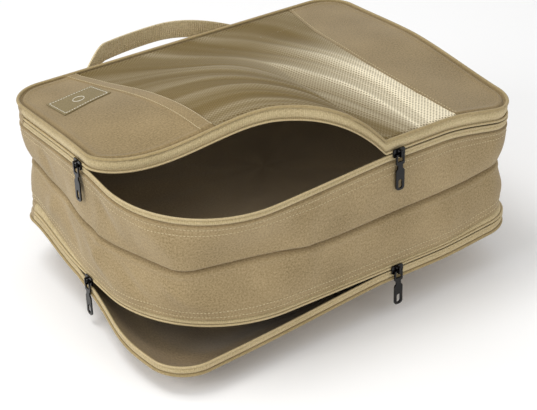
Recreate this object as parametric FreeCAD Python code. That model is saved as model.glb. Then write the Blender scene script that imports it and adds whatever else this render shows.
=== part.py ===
import FreeCAD, Part
import math
import os

# Packing cube, lying on its lower panel. Millimetres. X runs along the long side, Y towards the
# handle, Z up. The origin is the middle of the flat the cube rests on.

# overall
WIDTH = 356.0
DEPTH = 276.0
CORNER_R = 31.0
SLACK_CORNER_R = 104.0
CLOTH = 1.5

# heights of the seams
LOWER_SEAM = 34.0
LOWER_GROOVE = 51.0
MIDDLE_SEAM = 101.0
UPPER_GROOVE = 150.0
UPPER_SEAM = 169.0

# zips: one half-chain on the lid, one on the body, with the slider's post in the groove between
TAPE = 1.2
CHAIN_THICK = 2.4
CHAIN_OUT = 0.6
HALF_CHAIN = 1.8
CHAIN_GROOVE = 1.4
UPPER_CHAIN = 157.5
LOWER_CHAIN = 43.5
ZIP_END_Y = DEPTH / 2 - CORNER_R

# lower panel
FLAT_WIDTH = 200.0
FLAT_DEPTH = 125.0
FLAT_R = 45.0

# slack, lifted stretch of the upper lid's edge
LIP_LEFT_Y = -9.0
LIP_RIGHT_X = 30.0
LIP_LEFT_REACH = 40.0
LIP_RIGHT_REACH = 40.0
LIP_HEIGHT = 50.0
LID_CROWN = 6.0

# upper lid's panels
STRIP_WIDTH = 11.0
STRIP_THICK = 1.2
STRIP_BACK_X = -123.0
STRIP_FRONT_X = -108.0
MESH_THICK = 1.0
RIGHT_BACK_X = 124.0
RIGHT_FRONT_X = 108.0
RIGHT_BOW = 15.0
PATCH_WIDTH = 46.0
PATCH_DEPTH = 33.0
PATCH_X = -137.0
PATCH_Y = 78.0
PATCH_TURN = 2.0

# piping
PIPING = 2.0

# sliders and pulls
SLIDER_LENGTH = 12.0
SLIDER_HEIGHT = 8.0
PLATE = 1.2
PLATE_GAP = 0.4
POST_LENGTH = 2.6
POST_HEIGHT = 0.8
BRIDGE_WIDTH = 1.6
BRIDGE_BAR = 1.2
BRIDGE_HEIGHT = 7.0
BRIDGE_WINDOW = 2.6
PULL_THICK = 1.3
PULL_LENGTH = 34.0
PULL_WIDTH = 8.6
PULL_NECK = 5.0
EYE_WIDTH = 5.4
EYE_LENGTH = 6.6
SLOT_WIDTH = 3.8
SLOT_LENGTH = 8.5
RIGHT_SLIDER_X = 42.0
LEFT_SLIDER_Y = 2.0

# handle
STRAP_WIDTH = 18.0
STRAP_THICK = 2.2
STRAP_BOW = 30.0
STRAP_HALF = 96.0
STRAP_RISE = 18.0
STRAP_END_Z = 140.0
STRAP_X = -8.0
STRAP_SPLIT = 76.0
STRAP_GAP = 2.0


def vec(x, y, z):
    """Returns a point."""
    return FreeCAD.Vector(x, y, z)


def export(name, shape):
    """Writes one named solid."""
    shape.exportStep("parts/" + name + ".step")


def smooth(t):
    """Returns an S-shaped ramp from 0 to 1."""
    t = max(0.0, min(1.0, t))
    return t * t * (3.0 - 2.0 * t)


def mix(a, b, t):
    """Returns the value a share t of the way from a to b."""
    return a + (b - a) * t


# outlines


def outline_wire(width, depth, front_left_r, corner_r, z):
    """Returns a rounded rectangle whose front left corner has its own radius."""
    w, d, r, s = width / 2, depth / 2, corner_r, front_left_r
    k = math.sqrt(0.5)
    corners = (
        (vec(-w, d - r, z), vec(-w, s - d, z), vec(-w + s - s * k, -d + s - s * k, z), vec(s - w, -d, z)),
        (vec(s - w, -d, z), vec(w - r, -d, z), vec(w - r + r * k, -d + r - r * k, z), vec(w, r - d, z)),
        (vec(w, r - d, z), vec(w, d - r, z), vec(w - r + r * k, d - r + r * k, z), vec(w - r, d, z)),
        (vec(w - r, d, z), vec(r - w, d, z), vec(-w + r - r * k, d - r + r * k, z), vec(-w, d - r, z)),
    )
    edges = []
    for start, bend, middle, end in corners:
        edges.append(Part.makeLine(start, bend))
        edges.append(Part.Arc(bend, middle, end).toShape())
    return Part.Wire(edges)


def slab(front_left_r, inset, z_low, z_high):
    """Returns a solid plate with the cube's outline, drawn in by an inset."""
    wire = outline_wire(
        WIDTH - 2 * inset, DEPTH - 2 * inset, front_left_r - inset, CORNER_R - inset, z_low
    )
    return Part.Face(wire).extrude(vec(0, 0, z_high - z_low))


def ring(front_left_r, outward, thickness, z_low, z_high):
    """Returns an upright band that follows the cube's outline."""
    outer = slab(front_left_r, -outward, z_low, z_high)
    inner = slab(front_left_r, thickness - outward, z_low - 1, z_high + 1)
    return outer.cut(inner)


def zipped_part(band):
    """Returns the part of a band that the zip runs on: left, front and right."""
    keep = Part.makeBox(500, ZIP_END_Y + 300, 400, vec(-250, -300, -50))
    return band.common(keep)


def hinge_part(band):
    """Returns the part of a band along the back, between the zip's two ends."""
    keep = Part.makeBox(500, 200, 400, vec(-250, ZIP_END_Y + 0.1, -50))
    return band.common(keep)


# lifted edge of the upper lid


def lip_plan(t):
    """Returns the plan position on the lifted edge at a share t of its length."""
    start = (-WIDTH / 2, LIP_LEFT_Y)
    first = (-WIDTH / 2, LIP_LEFT_Y - LIP_LEFT_REACH)
    second = (LIP_RIGHT_X - LIP_RIGHT_REACH, -DEPTH / 2)
    end = (LIP_RIGHT_X, -DEPTH / 2)
    s = 1.0 - t
    weights = (s * s * s, 3 * s * s * t, 3 * s * t * t, t * t * t)
    points = (start, first, second, end)
    x = sum(w * p[0] for w, p in zip(weights, points))
    y = sum(w * p[1] for w, p in zip(weights, points))
    return x, y


def lip_lift(t):
    """Returns how far the edge is lifted at a share t of its length."""
    return LIP_HEIGHT * math.sin(math.pi * t ** 1.45) ** 1.8


def lip_at_x(x):
    """Returns the share t at which the lifted edge crosses a value of x."""
    low, high = 0.0, 1.0
    for _ in range(40):
        middle = (low + high) / 2
        if lip_plan(middle)[0] < x:
            low = middle
        else:
            high = middle
    return (low + high) / 2


def lid_path():
    """Returns points along the upper lid's edge, from the left zip end to the right one."""
    w, d, r = WIDTH / 2, DEPTH / 2, CORNER_R
    points = [vec(-w, mix(ZIP_END_Y, LIP_LEFT_Y, i / 24), UPPER_SEAM) for i in range(24)]
    for i in range(36):
        x, y = lip_plan(i / 36)
        points.append(vec(x, y, UPPER_SEAM + lip_lift(i / 36)))
    points += [vec(mix(LIP_RIGHT_X, w - r, i / 24), -d, UPPER_SEAM) for i in range(24)]
    for i in range(7):
        a = math.radians(-90 + 90 * i / 7)
        points.append(vec(w - r + r * math.cos(a), -d + r + r * math.sin(a), UPPER_SEAM))
    points += [vec(w, mix(r - d, ZIP_END_Y, i / 14), UPPER_SEAM) for i in range(15)]
    return points


def lid_loop():
    """Returns points along the whole edge of the upper lid, the back included."""
    w, d, r = WIDTH / 2, DEPTH / 2, CORNER_R
    points = lid_path()
    for i in range(1, 8):
        a = math.radians(90 * i / 7)
        points.append(vec(w - r + r * math.cos(a), d - r + r * math.sin(a), UPPER_SEAM))
    points += [vec(mix(w - r, r - w, i / 18), d, UPPER_SEAM) for i in range(1, 19)]
    for i in range(1, 7):
        a = math.radians(90 + 90 * i / 7)
        points.append(vec(r - w + r * math.cos(a), d - r + r * math.sin(a), UPPER_SEAM))
    return points


def outward_normals(points, closed):
    """Returns the level outward direction at each point of a path."""
    normals = []
    last = len(points) - 1
    for i in range(len(points)):
        before = points[i - 1] if i > 0 or closed else points[0]
        after = points[(i + 1) % len(points)] if i < last or closed else points[last]
        along = after - before
        normals.append(vec(along.y, -along.x, 0).normalize())
    return normals


def curve(points, closed):
    """Returns a smooth edge through points."""
    spline = Part.BSplineCurve()
    spline.interpolate(Points=points, PeriodicFlag=closed)
    return spline.toShape()


def closed_solid(faces):
    """Returns the solid inside a closed set of faces."""
    skin = Part.makeCompound(faces)
    skin.sewShape()
    solid = Part.makeSolid(skin.Shells[0])
    if solid.Volume < 0:
        solid.reverse()
    return solid


def band_solid(points, section, closed):
    """Returns a band with a four-cornered section of outward and upward offsets."""
    normals = outward_normals(points, closed)
    rows = [[p + n * out + vec(0, 0, up) for p, n in zip(points, normals)] for out, up in section]
    edges = [curve(row, closed) for row in rows]
    faces = [Part.makeRuledSurface(edges[i], edges[(i + 1) % 4]) for i in range(4)]
    if not closed:
        for end in (0, -1):
            corners = [row[end] for row in rows]
            faces.append(Part.Face(Part.makePolygon(corners + corners[:1])))
    return closed_solid(faces)


# upper lid's surface


def strip_x(v):
    """Returns the left edge of the binding strip, from the back (0) to the front (1)."""
    return mix(STRIP_BACK_X, STRIP_FRONT_X, 1.0 - (1.0 - v) ** 5)


def right_x(v):
    """Returns the inner edge of the right panel, from the back (0) to the front (1)."""
    return mix(RIGHT_BACK_X, RIGHT_FRONT_X, v) - RIGHT_BOW * math.sin(math.pi * v)


def edge_y(x, side):
    """Returns the outline's y at a value of x, for the back (1) or the front (-1)."""
    corner = abs(x) - (WIDTH / 2 - CORNER_R)
    drop = 0.0
    if corner > 0:
        drop = CORNER_R - math.sqrt(max(0.0, CORNER_R ** 2 - corner ** 2))
    return side * (DEPTH / 2 - drop)


def front_edge(x):
    """Returns y and lift of the lid's front edge at a value of x."""
    if x >= LIP_RIGHT_X:
        return edge_y(x, -1), 0.0
    t = lip_at_x(x)
    return lip_plan(t)[1], lip_lift(t)


def lid_point(x, v, raised):
    """Returns a point of the lid at x, a share v of the way from the back to the front."""
    shrink = (WIDTH / 2 - 0.5) / (WIDTH / 2)
    front, lift = front_edge(x)
    y = mix(edge_y(x, 1), front, v)
    inside = math.sin(math.pi * v) * (1.0 - abs(2 * x / WIDTH) ** 4)
    z = UPPER_SEAM + lift * smooth(v) ** 1.1 + LID_CROWN * inside + raised
    return vec(x * shrink, y * shrink, z + 0.1)


def lid_patch(left, right, columns, thickness, raised):
    """Returns a piece of the lid between two edges given as functions of v."""
    grid = []
    for i in range(columns + 1):
        u = i / columns
        grid.append([lid_point(mix(left(j / 14), right(j / 14), u), j / 14, raised) for j in range(15)])
    surface = Part.BSplineSurface()
    surface.interpolate(grid)
    return surface.toShape().extrude(vec(0, 0, thickness))


def left_edge(v):
    """Returns x of the lid's left edge."""
    return -WIDTH / 2


def right_edge(v):
    """Returns x of the lid's right edge."""
    return WIDTH / 2


def strip_middle(v):
    """Returns x of the seam under the binding strip."""
    return strip_x(v) + STRIP_WIDTH / 2


def strip_right(v):
    """Returns x of the binding strip's right edge."""
    return strip_x(v) + STRIP_WIDTH


def lid_z(x, y):
    """Returns the height of the lid's surface above a plan position."""
    front = front_edge(x)[0]
    back = edge_y(x, 1)
    v = (y - back) / (front - back)
    return lid_point(x, v, 0.0).z


def label_patch():
    """Returns the stitched label patch that lies on the left panel."""
    a = math.radians(PATCH_TURN)
    grid = []
    for i in range(5):
        row = []
        for j in range(4):
            across = (i / 4 - 0.5) * PATCH_WIDTH
            along = (0.5 - j / 3) * PATCH_DEPTH
            x = PATCH_X + across * math.cos(a) - along * math.sin(a)
            y = PATCH_Y + across * math.sin(a) + along * math.cos(a)
            row.append(vec(x, y, lid_z(x, y) + CLOTH + 0.05))
        grid.append(row)
    surface = Part.BSplineSurface()
    surface.interpolate(grid)
    return surface.toShape().extrude(vec(0, 0, STRIP_THICK))


# sections of the bodies


def make_lower_lid():
    """Builds the panel the cube stands on, with its piping, zip half and back strip."""
    high = outline_wire(WIDTH - 1, DEPTH - 1, CORNER_R, CORNER_R, LOWER_SEAM)
    low = outline_wire(FLAT_WIDTH, FLAT_DEPTH, FLAT_R, FLAT_R, 0)
    inner_high = outline_wire(WIDTH - 9, DEPTH - 9, CORNER_R, CORNER_R, LOWER_SEAM + 0.01)
    inner_low = outline_wire(FLAT_WIDTH, FLAT_DEPTH, FLAT_R, FLAT_R, CLOTH)
    bowl = Part.makeLoft([high, low], True).cut(Part.makeLoft([inner_high, inner_low], True))
    export("lower_panel", bowl)
    export("lower_piping", ring(CORNER_R, 1.3, PIPING, LOWER_SEAM + 0.05, LOWER_SEAM + 0.05 + PIPING))
    tape_low = LOWER_SEAM + PIPING + 0.1
    chain_low = LOWER_CHAIN - CHAIN_GROOVE / 2 - HALF_CHAIN
    tape = ring(CORNER_R, 0, TAPE, tape_low, chain_low)
    export("lower_lid_tape", zipped_part(tape))
    chain = ring(CORNER_R, CHAIN_OUT, CHAIN_THICK, chain_low, chain_low + HALF_CHAIN)
    export("lower_lid_chain", zipped_part(chain))
    strip = ring(CORNER_R, 0, TAPE, tape_low, LOWER_CHAIN - 0.2)
    export("lower_lid_hinge_strip", hinge_part(strip))


def make_gusset():
    """Builds the two side walls, the divider sewn between them and the body's zip halves."""
    r = SLACK_CORNER_R
    export("gusset_lower", ring(r, 0, CLOTH, LOWER_GROOVE, MIDDLE_SEAM - 0.6))
    export("gusset_upper", ring(r, 0, CLOTH, MIDDLE_SEAM + 0.6, UPPER_GROOVE))
    export("divider", slab(r, -0.4, MIDDLE_SEAM - 0.6, MIDDLE_SEAM + 0.6))
    top = UPPER_CHAIN - CHAIN_GROOVE / 2 - HALF_CHAIN
    low = LOWER_CHAIN + CHAIN_GROOVE / 2
    export("upper_body_tape", zipped_part(ring(r, 0, TAPE, UPPER_GROOVE, top)))
    export("upper_body_chain", zipped_part(ring(r, CHAIN_OUT, CHAIN_THICK, top, top + HALF_CHAIN)))
    export("lower_body_tape", zipped_part(ring(r, 0, TAPE, low + HALF_CHAIN, LOWER_GROOVE)))
    export("lower_body_chain", zipped_part(ring(r, CHAIN_OUT, CHAIN_THICK, low, low + HALF_CHAIN)))
    export("upper_body_hinge_strip", hinge_part(ring(r, 0, TAPE, UPPER_GROOVE, UPPER_CHAIN - 0.2)))
    export("lower_body_hinge_strip", hinge_part(ring(r, 0, TAPE, LOWER_CHAIN + 0.2, LOWER_GROOVE)))


def make_upper_lid():
    """Builds the upper lid: five panels, the piping round them, the zip half and back strip."""
    export("left_panel", lid_patch(left_edge, strip_middle, 8, CLOTH, 0.0))
    export("mesh_window", lid_patch(strip_middle, right_x, 18, MESH_THICK, 0.0))
    export("right_panel", lid_patch(right_x, right_edge, 10, CLOTH, 0.0))
    export("binding_strip", lid_patch(strip_x, strip_right, 4, STRIP_THICK, CLOTH + 0.05))
    export("label_patch", label_patch())
    path = lid_path()
    chain_high = UPPER_CHAIN + CHAIN_GROOVE / 2 + HALF_CHAIN - UPPER_SEAM
    tape = ((-TAPE, chain_high), (0, chain_high), (0, -0.1), (-TAPE, -0.1))
    export("upper_lid_tape", band_solid(path, tape, False))
    inner = CHAIN_OUT - CHAIN_THICK
    low = chain_high - HALF_CHAIN
    chain = ((inner, low), (CHAIN_OUT, low), (CHAIN_OUT, chain_high), (inner, chain_high))
    export("upper_lid_chain", band_solid(path, chain, False))
    piping = ((-0.4, 0.0), (1.3, 0.0), (1.3, PIPING), (-0.4, PIPING))
    export("upper_piping", band_solid(lid_loop(), piping, True))
    strip = ring(CORNER_R, 0, TAPE, UPPER_CHAIN + 0.2, UPPER_SEAM - 0.1)
    export("upper_lid_hinge_strip", hinge_part(strip))


# zip sliders, drawn on a wall that faces -Y, with the chain's middle at the origin


def slider_body(post_side):
    """Returns the two plates of a slider and the post that joins them through the groove."""
    near = CHAIN_OUT + PLATE_GAP
    far = CHAIN_THICK - CHAIN_OUT + PLATE_GAP
    half, tall = SLIDER_LENGTH / 2, SLIDER_HEIGHT / 2
    outer = Part.makeBox(SLIDER_LENGTH, PLATE, SLIDER_HEIGHT, vec(-half, -near - PLATE, -tall))
    outer = outer.makeFillet(1.8, [e for e in outer.Edges if abs(e.tangentAt(0).y) > 0.9])
    inner = Part.makeBox(SLIDER_LENGTH, PLATE, SLIDER_HEIGHT, vec(-half, far, -tall))
    x = post_side * (half - POST_LENGTH / 2 - 0.5) - POST_LENGTH / 2
    corner = vec(x, -near - 0.2, -POST_HEIGHT / 2)
    post = Part.makeBox(POST_LENGTH, near + far + 2 * 0.2, POST_HEIGHT, corner)
    return outer.fuse([inner, post]).removeSplitter()


def bridge():
    """Returns the arch on the slider that holds the pull's eye."""
    back = -(CHAIN_OUT + PLATE_GAP + PLATE)
    front = back - BRIDGE_WINDOW - BRIDGE_BAR
    half, tall = BRIDGE_WIDTH / 2, BRIDGE_HEIGHT / 2
    arch = Part.makeBox(BRIDGE_WIDTH, back - front, BRIDGE_HEIGHT, vec(-half, front, -tall))
    outer = [e for e in arch.Edges if e.BoundBox.YMax < back - 1]
    arch = arch.makeFillet(1.0, [e for e in outer if abs(e.tangentAt(0).x) > 0.9])
    window = Part.makeBox(BRIDGE_WIDTH + 2, BRIDGE_WINDOW + 1, BRIDGE_HEIGHT - 2 * BRIDGE_BAR)
    window.translate(vec(-half - 1, back - BRIDGE_WINDOW, -tall + BRIDGE_BAR))
    return arch.cut(window)


def pull_axis():
    """Returns outward distance and height of the pull's pivot."""
    out = CHAIN_OUT + PLATE_GAP + PLATE + BRIDGE_WINDOW / 2
    return out, -BRIDGE_HEIGHT / 2 + BRIDGE_BAR + PULL_THICK / 2 + 0.35


def rounded_bar(width, z_high, z_low, radius, y_low, thickness):
    """Returns a flat tab, standing in the wall's plane, with rounded corners."""
    tab = Part.makeBox(width, thickness, z_high - z_low, vec(-width / 2, y_low, z_low))
    return tab.makeFillet(radius, [e for e in tab.Edges if abs(e.tangentAt(0).y) > 0.9])


def pull():
    """Returns the pull: an eye, a neck and a slotted grip."""
    out, height = pull_axis()
    y = -out - PULL_THICK / 2
    rim = (PULL_WIDTH - EYE_WIDTH) / 2
    eye = rounded_bar(PULL_WIDTH, height, height - EYE_LENGTH - 1.8 * rim, 1.5, y, PULL_THICK)
    bar_end = vec(-PULL_WIDTH / 2 + 0.5, -out, height)
    bar = Part.makeCylinder(PULL_THICK / 2, PULL_WIDTH - 1.0, bar_end, vec(1, 0, 0))
    low = height + PULL_THICK / 2 - PULL_LENGTH
    neck = Part.makeBox(PULL_NECK, PULL_THICK, 8.0, vec(-PULL_NECK / 2, y, height - EYE_LENGTH - 8.5))
    grip = rounded_bar(PULL_WIDTH, height - EYE_LENGTH - 6.0, low, 3.2, y, PULL_THICK)
    tab = eye.fuse([bar, neck, grip]).removeSplitter()
    hole_corner = vec(-EYE_WIDTH / 2, -out - 4.5, height - EYE_LENGTH)
    hole = Part.makeBox(EYE_WIDTH, 9.0, EYE_LENGTH - 0.65, hole_corner)
    slot = rounded_bar(SLOT_WIDTH, low + 1.8 + SLOT_LENGTH, low + 1.8, 1.8, -out - 4.5, 9.0)
    return tab.cut(hole).cut(slot)


def on_front(shape, x, z):
    """Returns a copy moved to the front wall."""
    copy = shape.copy()
    copy.translate(vec(x, -DEPTH / 2, z))
    return copy


def on_left(shape, y, z):
    """Returns a copy turned to face left and moved to the left wall."""
    copy = shape.copy()
    copy.rotate(vec(0, 0, 0), vec(0, 0, 1), -90)
    copy.translate(vec(-WIDTH / 2, y, z))
    return copy


def make_sliders():
    """Builds the four sliders, two to each zip."""
    for level, z in (("upper", UPPER_CHAIN), ("lower", LOWER_CHAIN)):
        export(level + "_left_slider", on_left(slider_body(1), LEFT_SLIDER_Y, z))
        export(level + "_left_bridge", on_left(bridge(), LEFT_SLIDER_Y, z))
        export(level + "_left_pull", on_left(pull(), LEFT_SLIDER_Y, z))
        export(level + "_right_slider", on_front(slider_body(-1), RIGHT_SLIDER_X, z))
        export(level + "_right_bridge", on_front(bridge(), RIGHT_SLIDER_X, z))
        export(level + "_right_pull", on_front(pull(), RIGHT_SLIDER_X, z))


# handle


def strap_point(x):
    """Returns plan position and height of the strap's middle line at x from its centre."""
    c = math.cos(math.pi / 2 * abs(x) / STRAP_HALF)
    bow = STRAP_BOW * c ** 0.9
    return vec(STRAP_X + x, DEPTH / 2 + 0.3 + bow, STRAP_END_Z + STRAP_RISE * c * c)


def strap_piece(x_low, x_high, steps):
    """Returns a length of the webbing standing on its edge."""
    points = [strap_point(mix(x_low, x_high, i / steps)) for i in range(steps + 1)]
    half = STRAP_WIDTH / 2
    section = ((0, -half), (STRAP_THICK, -half), (STRAP_THICK, half), (0, half))
    return band_solid(list(reversed(points)), section, False)


def make_handle():
    """Builds the webbing handle and its two sewn ends."""
    export("handle_strap", strap_piece(-STRAP_SPLIT, STRAP_SPLIT, 24))
    export("handle_end_left", strap_piece(-STRAP_HALF, -STRAP_SPLIT - STRAP_GAP, 6))
    export("handle_end_right", strap_piece(STRAP_SPLIT + STRAP_GAP, STRAP_HALF, 6))


def main():
    """Builds every piece."""
    os.makedirs("parts", exist_ok=True)
    make_lower_lid()
    make_gusset()
    make_upper_lid()
    make_sliders()
    make_handle()


main()
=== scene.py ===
"""Builds the visual model of a soft two-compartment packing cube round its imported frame."""

from __future__ import annotations

import logging
import math
from dataclasses import dataclass, field
from enum import Enum
from typing import Callable, Sequence

import bpy
from mathutils import Matrix, Vector, noise

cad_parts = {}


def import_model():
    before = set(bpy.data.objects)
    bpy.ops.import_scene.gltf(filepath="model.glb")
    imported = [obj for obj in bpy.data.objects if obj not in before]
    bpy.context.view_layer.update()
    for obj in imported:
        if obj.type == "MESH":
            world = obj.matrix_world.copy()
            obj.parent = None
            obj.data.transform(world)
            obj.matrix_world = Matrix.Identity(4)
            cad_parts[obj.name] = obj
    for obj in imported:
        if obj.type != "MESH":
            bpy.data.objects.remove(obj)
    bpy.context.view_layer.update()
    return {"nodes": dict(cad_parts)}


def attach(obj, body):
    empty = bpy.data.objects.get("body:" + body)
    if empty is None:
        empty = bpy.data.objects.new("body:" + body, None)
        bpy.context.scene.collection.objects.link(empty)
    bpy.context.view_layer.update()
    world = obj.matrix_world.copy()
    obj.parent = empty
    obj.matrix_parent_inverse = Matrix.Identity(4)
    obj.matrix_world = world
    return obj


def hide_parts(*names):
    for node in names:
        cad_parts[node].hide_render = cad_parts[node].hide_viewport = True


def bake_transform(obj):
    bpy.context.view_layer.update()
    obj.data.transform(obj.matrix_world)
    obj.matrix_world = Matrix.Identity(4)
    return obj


log = logging.getLogger("packing_cube")

MM = 0.001
Surface = Callable[[float, float], Vector]
Path = Callable[[float], tuple[Vector, Vector]]
UP = Vector((0, 0, 1))
# the zips take up this share of each outline, and the hinge strips the rest
ZIP = 0.75
COIL_TURNS = 500
COIL_STEPS = 1300


# small helpers


def mix(a: float, b: float, t: float) -> float:
    """Returns the value a share t of the way from a to b."""
    return a + (b - a) * t


def smooth(t: float) -> float:
    """Returns an S-shaped ramp from 0 to 1, level at both ends."""
    t = max(0.0, min(1.0, t))
    return t * t * (3.0 - 2.0 * t)


def bell(x: float, middle: float, width: float) -> float:
    """Returns a bump of height 1 about a middle, with a soft reach of about one width."""
    return math.exp(-(((x - middle) / width) ** 2))


def ripple(x: float, y: float, z: float, seed: float) -> float:
    """Returns smooth seeded noise between about -1 and 1."""
    return noise.noise(Vector((x, y, z + 17.3 * seed)))


def through(stops: Sequence[tuple[float, float]], at: float) -> float:
    """Returns the value at a place on a smooth ramp through a few stops.

    Args:
        stops: places in order, each with its value.
        at: the place.

    Returns:
        The value, level at each stop.
    """
    if at <= stops[0][0]:
        return stops[0][1]
    for (left, low), (right, high) in zip(stops, stops[1:]):
        if at <= right:
            return mix(low, high, smooth((at - left) / (right - left)))
    return stops[-1][1]


def crowd(t: float, loose: float = 0.3) -> float:
    """Returns a share from 0 to 1 with steps that crowd together towards both ends."""
    return loose * t + (1.0 - loose) * (0.5 - 0.5 * math.cos(math.pi * t))


def linear(code: str) -> tuple[float, float, float, float]:
    """Turns an sRGB hex colour to linear light.

    Args:
        code: the colour as "#RRGGBB".

    Returns:
        Red, green, blue and alpha.
    """
    parts = [int(code[i : i + 2], 16) / 255 for i in (1, 3, 5)]
    red, green, blue = [c / 12.92 if c <= 0.04045 else ((c + 0.055) / 1.055) ** 2.4 for c in parts]
    return red, green, blue, 1.0


# finishes


class Weave(Enum):
    """How a cloth is made, which sets the pattern of its surface."""

    PLAIN = "plain"
    RIBBED = "ribbed"
    TAPE = "tape"


def add_node(
    tree: bpy.types.NodeTree, kind: str, links: dict | None = None, **settings
) -> bpy.types.Node:
    """Adds one shader node.

    Args:
        tree: the material's node tree.
        kind: the node's type name.
        links: input names or numbers, each with the socket or the value that feeds it.
        settings: attributes of the node.

    Returns:
        The node.
    """
    node = tree.nodes.new(kind)
    for name, value in settings.items():
        setattr(node, name, value)
    for name, value in (links or {}).items():
        if isinstance(value, bpy.types.NodeSocket):
            tree.links.new(value, node.inputs[name])
        else:
            node.inputs[name].default_value = value
    return node


def new_material(name: str) -> tuple[bpy.types.Material, bpy.types.Node]:
    """Returns an empty material and its main shader."""
    material = bpy.data.materials.new(name)
    material.use_nodes = True
    tree = material.node_tree
    tree.nodes.clear()
    shader = add_node(tree, "ShaderNodeBsdfPrincipled")
    add_node(tree, "ShaderNodeOutputMaterial", {"Surface": shader.outputs["BSDF"]})
    return material, shader


@dataclass(frozen=True)
class Cloth:
    """Woven polyester: matt, faintly fuzzy, flecked where the yarn's shade varies."""

    name: str
    dark: str
    light: str
    weave: Weave = Weave.PLAIN
    # real canvas has about 0.6 mm between yarns, drawn at 1.5 mm so that it shows
    thread_mm: float = 1.5
    bump_mm: float = 0.12
    roughness: float = 0.86
    sheen: float = 0.18

    def make(self) -> bpy.types.Material:
        """Builds the cloth from its map of millimetres along and across the piece."""
        material, shader = new_material(self.name)
        tree = material.node_tree
        place = add_node(tree, "ShaderNodeUVMap", uv_map="cloth").outputs["UV"]
        mm = add_node(
            tree, "ShaderNodeVectorMath", {0: place, 1: (1000.0, 1000.0, 1000.0)}, operation="MULTIPLY"
        ).outputs[0]
        split = add_node(tree, "ShaderNodeSeparateXYZ", {0: mm})
        turns = 2.0 * math.pi / self.thread_mm
        along = add_node(
            tree, "ShaderNodeMath", {0: split.outputs["X"], 1: turns}, operation="MULTIPLY"
        ).outputs[0]
        across = add_node(
            tree, "ShaderNodeMath", {0: split.outputs["Y"], 1: turns}, operation="MULTIPLY"
        ).outputs[0]
        warp = add_node(tree, "ShaderNodeMath", {0: along}, operation="SINE").outputs[0]
        weft = add_node(tree, "ShaderNodeMath", {0: across}, operation="SINE").outputs[0]
        kind = "MULTIPLY" if self.weave is Weave.PLAIN else "ADD"
        if self.weave is Weave.TAPE:
            weft = 0.0
        grid = add_node(tree, "ShaderNodeMath", {0: warp, 1: weft}, operation=kind).outputs[0]
        fleck = add_node(
            tree, "ShaderNodeTexNoise", {"Vector": mm, "Scale": 0.62, "Detail": 3.0, "Roughness": 0.8}
        ).outputs["Fac"]
        broad = add_node(
            tree, "ShaderNodeTexNoise", {"Vector": mm, "Scale": 0.018, "Detail": 2.0, "Roughness": 0.5}
        ).outputs["Fac"]
        yarn = add_node(
            tree, "ShaderNodeMath", {0: grid, 1: 0.07, 2: 0.5}, operation="MULTIPLY_ADD"
        ).outputs[0]
        speck = add_node(
            tree, "ShaderNodeMath", {0: fleck, 1: 2.0, 2: -1.0}, operation="MULTIPLY_ADD"
        ).outputs[0]
        cloud = add_node(
            tree, "ShaderNodeMath", {0: broad, 1: 0.7, 2: -0.35}, operation="MULTIPLY_ADD"
        ).outputs[0]
        shade = add_node(tree, "ShaderNodeMath", {0: yarn, 1: speck}, operation="ADD").outputs[0]
        shade = add_node(
            tree, "ShaderNodeMath", {0: shade, 1: cloud}, operation="ADD", use_clamp=True
        ).outputs[0]
        colour = add_node(
            tree,
            "ShaderNodeMix",
            {"Factor": shade, 6: linear(self.dark), 7: linear(self.light)},
            data_type="RGBA",
        ).outputs[2]
        tree.links.new(colour, shader.inputs["Base Color"])
        height = add_node(
            tree, "ShaderNodeMath", {0: fleck, 1: 1.4, 2: grid}, operation="MULTIPLY_ADD"
        ).outputs[0]
        bump = add_node(
            tree, "ShaderNodeBump", {"Height": height, "Distance": self.bump_mm * MM, "Strength": 0.6}
        ).outputs["Normal"]
        tree.links.new(bump, shader.inputs["Normal"])
        shader.inputs["Roughness"].default_value = self.roughness
        shader.inputs["Sheen Weight"].default_value = self.sheen
        shader.inputs["Sheen Roughness"].default_value = 0.5
        shader.inputs["Specular IOR Level"].default_value = 0.25
        return material


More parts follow.
